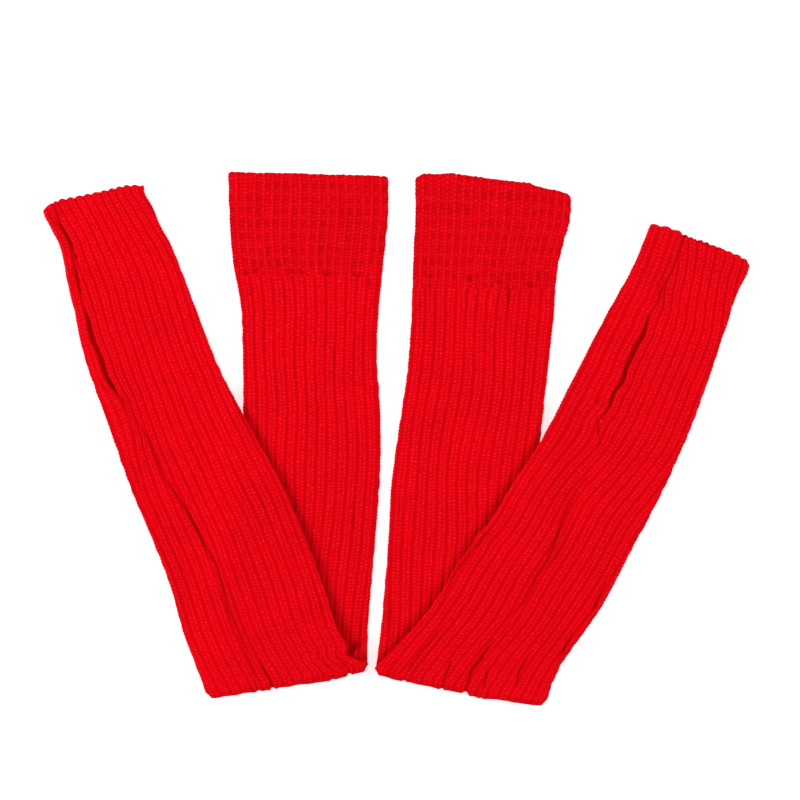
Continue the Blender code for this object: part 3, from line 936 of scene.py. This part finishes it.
class LEGWARMERS_OT_knee_cuffs(Operator):
    """Knit the two waffle cuffs, each with a rolled mouth"""

    bl_idname = "leg_warmers.knee_cuffs"
    bl_label = "Knee cuffs"

    def execute(self, context):
        knit = context.scene.leg_knit
        course = knit.course / MM
        for warmer in PAIR:
            under = Stretch(warmer.under)
            lengths, insets = mouth_rows(courses(0.0, CUFF_DEPTH, course), True)
            places = columns_round(warmer.cuff_ribs, CUFF_STEPS)
            tube = Tube(warmer.cuff_ribs, places, lengths, insets, under.at(lengths), warmer.seed)
            tube.stray(knit.wander)
            stitches = tube.stitch_count(course, 0.25)
            tube.relief, tube.shade = cuff_relief(tube.places, tube.lengths, stitches, knit, tube.seed)
            tube.under_drop = knit.band_height / MM
            tube.ease_seam(CUFF_DEPTH - tube.lengths)
            tube.shade_rim()
            edge = MOUTH_UNEVEN * unevenness(tube.seed + 6, tube.places * 8, 0, MOUTH_WAVE)
            edge = edge + tube.end_shape(warmer.cuff_edge) - corner_push(tube)
            tube.push = edge * smoothstep(1 - tube.lengths / CUFF_EDGE_REACH)
            x, y, z, _ = tube.plan(warmer.under_creases, knit.lumps / MM)
            add_piece(warmer, "knee_cuff", to_metres(x, y, z), tube, stitches)
        return {"FINISHED"}


def corner_push(tube):
    """Return how far the cuff's mouth draws back round its two small corners."""
    half_width = tube.stations[:, 2][:, None] / 2
    side = np.sin(math.pi / 2 * np.clip(tube.moved - tube.ribs, 0, 1))
    side = side + np.sin(math.pi / 2 * np.clip(-tube.moved, 0, 1))
    across = np.abs(tube.face()) * (half_width - SIDE_RADIUS)
    from_edge = half_width - across - SIDE_RADIUS * side
    short = np.clip(CUFF_CORNER - from_edge, 0, CUFF_CORNER)
    return CUFF_CORNER - np.sqrt(CUFF_CORNER**2 - 0.97 * short**2)


class LEGWARMERS_OT_legs_under(Operator):
    """Knit the two ribbed stretches that lie on the surface"""

    bl_idname = "leg_warmers.legs_under"
    bl_label = "Legs, under stretch"

    def execute(self, context):
        knit = context.scene.leg_knit
        course = knit.course / MM
        for warmer in PAIR:
            under = Stretch(warmer.under)
            lengths = courses(CUFF_DEPTH, under.length, course)
            places = columns_round(LEG_RIBS, LEG_STEPS)
            insets = np.zeros(len(lengths))
            tube = Tube(LEG_RIBS, places, lengths, insets, under.at(lengths), warmer.seed + 100)
            tube.stray(knit.wander, UNDER_FLOW)
            stitches = tube.stitch_count(course)
            tube.knit_leg(knit, stitches)
            tube.ease_seam(tube.lengths - CUFF_DEPTH)
            x, y, z, _ = tube.plan(warmer.under_creases, knit.lumps / MM)
            tube.shade = darken(tube.shade, painted_shade_beside_over(warmer, x, y))
            add_piece(warmer, "leg_under", to_metres(x, y, z), tube, stitches)
        return {"FINISHED"}


def painted_shade_beside_over(warmer, x, y):
    """Return the painted shade on the under stretch close beside the over stretch that lies on it."""
    side = -warmer.leaves_to
    edge = Stretch(warmer.over).edge(side)[::-1]
    away = 0.85 * side * (x - np.interp(y, edge[:, 1], edge[:, 0]))
    return BESIDE_SHADE * np.exp(-((np.clip(away, 0, None) / BESIDE_REACH) ** 2)) * (away > -20.0)


def over_layer(warmer, tube, angles, lengths, lumps):
    """Place the over stretch: round the fold, on the under stretch, then down to the surface."""
    x, y, rise, turn = tube.plan(warmer.over_creases, lumps)
    angle = angles[:, None]
    reach = FOLD_INNER_RADIUS + rise
    out = reach * np.sin(angle)
    round_fold = FOLD_INNER_RADIUS + THICK - reach * np.cos(angle)
    edge = Stretch(warmer.under).edge(warmer.leaves_to)
    outside = warmer.leaves_to * (x - np.interp(y, edge[:, 1], edge[:, 0]))
    lowered = LAYER_RISE * smoothstep((outside - STEP_DOWN_CLEARANCE) / STEP_DOWN_LENGTH)
    settled = smoothstep(lengths / STEP_DOWN_STARTS)[:, None]
    z = np.where(angle < math.pi, round_fold, LAYER_RISE + rise - lowered * settled)
    return to_metres(x + out * np.sin(turn), y - out * np.cos(turn), np.maximum(z, 0.0))


def at_slit(tube, warmer):
    """Shift the ribs so that the valley of the heel slit lies where the solid has its slit.

    Between the slit and the foot's end the ribs beside the slit's line hide in a crease, and as
    many come round the far edge, so they run at a slant to the tube.
    """
    places = tube.places
    at = np.argmin(np.abs(places[0] - warmer.slit_rib))
    over = Stretch(warmer.over)
    slit_end = over.length - warmer.band_length
    wanted = LEG_RIBS * (warmer.slit_face + 1) / 2
    near = smoothstep((tube.lengths - slit_end + HEEL_SLIT_LENGTH + SLIT_RUN_IN) / SLIT_RUN_IN)
    round_back = np.clip((places[0, -1] - places) / (LEG_RIBS / 2), 0, 1)
    before = np.clip(places / warmer.slit_rib, 0, 1)
    window = np.where(places > warmer.slit_rib, round_back, before)
    tube.moved = tube.moved + (wanted - tube.moved[:, at : at + 1]) * near * window
    to_fold = np.clip((slit_end - tube.lengths) / HEEL_SLIT_LENGTH, 0, 1)
    strays = warmer.slit_lean * to_fold**3
    strays = strays + SLIT_WANDER * unevenness(warmer.seed + 16, 0.0, tube.lengths, 38)
    after = np.clip(1 - (places - warmer.slit_rib) / SLIT_WANDER_RIBS, 0, 1) ** 1.5
    tube.moved = tube.moved + strays * near * np.where(places > warmer.slit_rib, after, before)
    along = np.clip((tube.lengths - slit_end) / warmer.band_length, 0, 1)
    hidden = warmer.tucked * along**1.15
    past = np.clip(places - warmer.slit_rib, 0, hidden)
    back = np.clip((places[0, -1] - places) / (LEG_RIBS / 2 - 2.0), 0, 1)
    drawn = places - (1 - TUCK_SHARE) * past * back
    tube.moved = np.array([np.interp(to, row, was) for to, row, was in zip(drawn, places, tube.moved)])
    inside = (places - warmer.slit_rib) / np.maximum(hidden, 0.01)
    tube.tuck = np.clip(1 - np.abs(2 * inside - 1), 0, 1) ** 0.3 * smoothstep(hidden / 0.5)


class LEGWARMERS_OT_legs_over(Operator):
    """Knit the two stretches that turn round the fold and lie on top, each with its heel slit"""

    bl_idname = "leg_warmers.legs_over"
    bl_label = "Legs, over stretch"

    def execute(self, context):
        knit = context.scene.leg_knit
        course = knit.course / MM
        for warmer in PAIR:
            over = Stretch(warmer.over)
            end = over.length - warmer.band_length
            fold_rows = round(math.pi * (FOLD_INNER_RADIUS + THICK) / FOLD_STEP)
            fold_angles = np.linspace(0.0, math.pi, fold_rows, endpoint=False)
            flat = courses(0.0, end, course)
            lengths = np.append(np.zeros(fold_rows), flat)
            angles = np.append(fold_angles, np.full(len(flat), math.pi))
            arc = (angles - math.pi) * (FOLD_INNER_RADIUS + THICK)
            stations = over.at(lengths)
            stations[:, 2] -= FOLD_TAPER * np.sin(angles)

            places = columns_round(LEG_RIBS, LEG_STEPS)
            slit = warmer.slit_rib
            at = int(np.argmin(np.abs(places - slit)))
            split = [slit + SLIT_COLUMN_STEP * column for column in SLIT_COLUMNS]
            lips = np.insert(np.zeros(len(places) - 1), at, SLIT_COLUMNS)
            places = np.insert(np.delete(places, at), at, split)

            tube = Tube(LEG_RIBS, places, lengths, np.zeros(len(lengths)), stations, warmer.seed + 200)
            tube.lengths = (lengths + arc)[:, None]
            tube.stray(OVER_WANDER * knit.wander, warmer.flow, FOLD_STRAIGHT)
            at_slit(tube, warmer)
            tube.pinches = warmer.pinches
            stitches = tube.stitch_count(course)
            tube.knit_leg(knit, stitches)
            calm = 1 - FOLD_CALM * np.exp(-((lengths / FOLD_CALM_REACH) ** 2))[:, None]
            tube.relief = RIB_TOP - (RIB_TOP - tube.relief) * calm
            # The painted shade in the valleys eases with them near the fold.
            tube.shade = tube.shade * calm
            risen = smoothstep(angles / FOLD_RIBS_RISEN)[:, None]
            tube.relief = tube.relief - RIB_TOP * (1 - risen) * np.cos(tube.side_angle())
            bend = np.sin(angles)[:, None] ** 2
            bulges = FOLD_BULGE * unevenness(warmer.seed + 15, tube.places * 9, 0, FOLD_BULGE_WAVE)
            edge = (bulges + tube.end_shape(warmer.fold_edge)) * bend
            tube.relief = tube.relief * (1 - FOLD_SMOOTHING * bend) + edge
            along = np.clip((lengths - (end - HEEL_SLIT_LENGTH)) / HEEL_SLIT_LENGTH, 0, 1)[:, None]
            half = SLIT_HALF_WIDTH * np.sin(math.pi * along) ** 0.8
            side, place = np.sign(lips), np.abs(lips)
            aside = places - slit
            spread = np.sign(aside) * np.clip(1 - np.abs(aside) / SLIT_LIP_RIBS, 0, 1) ** 1.5
            spread = np.where(lips == 0, spread, side * np.interp(place, (1, 2, 3), (0.8, 0.9, 1.0)))
            uneven = 1 + 0.35 * unevenness(warmer.seed + 13, 0.0, tube.lengths, 24)
            half = np.clip(half * uneven, 0, SLIT_HALF_WIDTH)
            tube.lip_across = half * spread
            depth = np.interp(place, (0, 1, 2, 3), (1.0, 1.0, 0.45, 0.08))
            on_lip = np.array([lip != 0 or abs(p - slit) < 1e-6 for lip, p in zip(lips, places)])
            opened = smoothstep(half / SLIT_OPEN)
            tube.lip_depth = depth * on_lip * SLIT_DEPTH * opened
            # Painted shade down in the open slit, weaker on its outer lip columns.
            dark = np.interp(place, (0, 2, 3), (1, 1, 0.3))
            tube.shade = darken(tube.shade, SLIT_SHADE * (on_lip * opened) * dark)
            points = over_layer(warmer, tube, angles, lengths, knit.lumps / MM)
            add_piece(warmer, "leg_over", points, tube, stitches)
        return {"FINISHED"}


class LEGWARMERS_OT_foot_bands(Operator):
    """Knit the two foot bands, each with a scalloped mouth"""

    bl_idname = "leg_warmers.foot_bands"
    bl_label = "Foot bands"

    def execute(self, context):
        knit = context.scene.leg_knit
        course = knit.course / MM
        for warmer in PAIR:
            over = Stretch(warmer.over)
            start = over.length - warmer.band_length
            lengths, insets = mouth_rows(courses(start, over.length, course), False)
            places = columns_round(LEG_RIBS, LEG_STEPS, 3)
            tube = Tube(LEG_RIBS, places, lengths, insets, over.at(lengths), warmer.seed + 200)
            tube.stray(OVER_WANDER * knit.wander, warmer.flow)
            at_slit(tube, warmer)
            stitches = tube.stitch_count(course)
            tube.knit_leg(knit, stitches)
            tube.relief = tube.relief * (1 - tube.tuck) - TUCK_DEPTH * tube.tuck
            # Painted shade in the crease where the ribs tuck in at the foot.
            tube.shade = darken(tube.shade, warmer.tuck_shade * tube.tuck)
            tube.shade_rim()
            crest = np.sin(math.pi * (tube.places - np.floor(tube.places)))
            to_end = over.length - tube.lengths
            shape = tube.end_shape(warmer.foot_edge) * smoothstep(1 - to_end / FOOT_EDGE_REACH)
            tube.push = SCALLOP * (crest - 0.5) * smoothstep(1 - to_end / SCALLOP_REACH) + shape
            tube.pinches = warmer.pinches
            x, y, z, _ = tube.plan(warmer.over_creases, knit.lumps / MM)
            add_piece(warmer, "foot_band", to_metres(x, y, z), tube, stitches)
        return {"FINISHED"}


class LEGWARMERS_OT_stage(Operator):
    """Lay the pale floor and set the soft light and the camera straight above"""

    bl_idname = "leg_warmers.stage"
    bl_label = "Stage"

    def execute(self, context):
        scene = context.scene
        stage = scene.leg_stage
        scene.view_settings.view_transform = "Standard"
        mesh = flat_grid("floor", 8, 8, FLOOR_HALF_WIDTH)
        floor = add_object("floor", mesh)
        paper = Nodes("floor_paper")
        colour = tuple(stage.floor_colour) + (1.0,)
        paler = tuple(min(1.0, 1.01 * channel) for channel in stage.floor_colour) + (1.0,)
        paper.surface(
            Base_Color=paper.mix(paper.noise(60.0), colour, paler), Roughness=0.95,
            Emission_Color=WHITE, Emission_Strength=0.64,
        )
        mesh.materials.append(paper.material)

        world = bpy.data.worlds.new("soft_sky")
        world.use_nodes = True
        background = world.node_tree.nodes["Background"]
        background.inputs["Color"].default_value = WHITE
        background.inputs["Strength"].default_value = stage.sky
        scene.world = world

        for name, place, share in LAMPS:
            light = bpy.data.lights.new(name, "AREA")
            light.energy = share * stage.key
            light.size = LAMP_SIZE
            lamp = add_object(name, light)
            lamp.location = place
            lamp.rotation_euler = (-Vector(place)).to_track_quat("-Z", "Y").to_euler()

        lens = bpy.data.cameras.new("camera")
        lens.lens = LENS
        lens.sensor_width = SENSOR
        camera = add_object("camera", lens)
        distance = stage.view_width * lens.lens / lens.sensor_width
        camera.location = (CAMERA_X * MM, CAMERA_Y * MM, distance + CLOTH_HEIGHT * MM)
        scene.camera = camera
        return {"FINISHED"}


class LEGWARMERS_PT_panel(Panel):
    """Lists the pieces and their settings"""

    bl_label = "Leg warmers"
    bl_idname = "LEGWARMERS_PT_panel"
    bl_space_type = "VIEW_3D"
    bl_region_type = "UI"
    bl_category = "Leg warmers"

    def draw(self, context):
        for group in (context.scene.leg_knit, context.scene.leg_yarn, context.scene.leg_stage):
            box = self.layout.box()
            for name in group.__annotations__:
                box.prop(group, name)
        for operator in OPERATORS:
            self.layout.operator(operator.bl_idname)


OPERATORS = (
    LEGWARMERS_OT_knee_cuffs,
    LEGWARMERS_OT_legs_under,
    LEGWARMERS_OT_legs_over,
    LEGWARMERS_OT_foot_bands,
    LEGWARMERS_OT_stage,
)
CLASSES = (KnitSettings, YarnSettings, StageSettings) + OPERATORS + (LEGWARMERS_PT_panel,)


def register():
    for item in CLASSES:
        bpy.utils.register_class(item)
    bpy.types.Scene.leg_knit = PointerProperty(type=KnitSettings)
    bpy.types.Scene.leg_yarn = PointerProperty(type=YarnSettings)
    bpy.types.Scene.leg_stage = PointerProperty(type=StageSettings)


def unregister():
    for name in ("leg_knit", "leg_yarn", "leg_stage"):
        delattr(bpy.types.Scene, name)
    for item in reversed(CLASSES):
        bpy.utils.unregister_class(item)


def main():
    register()
    bpy.ops.leg_warmers.knee_cuffs()
    bpy.ops.leg_warmers.legs_under()
    bpy.ops.leg_warmers.legs_over()
    bpy.ops.leg_warmers.foot_bands()
    bpy.ops.leg_warmers.stage()


if __name__ == "__main__":
    main()
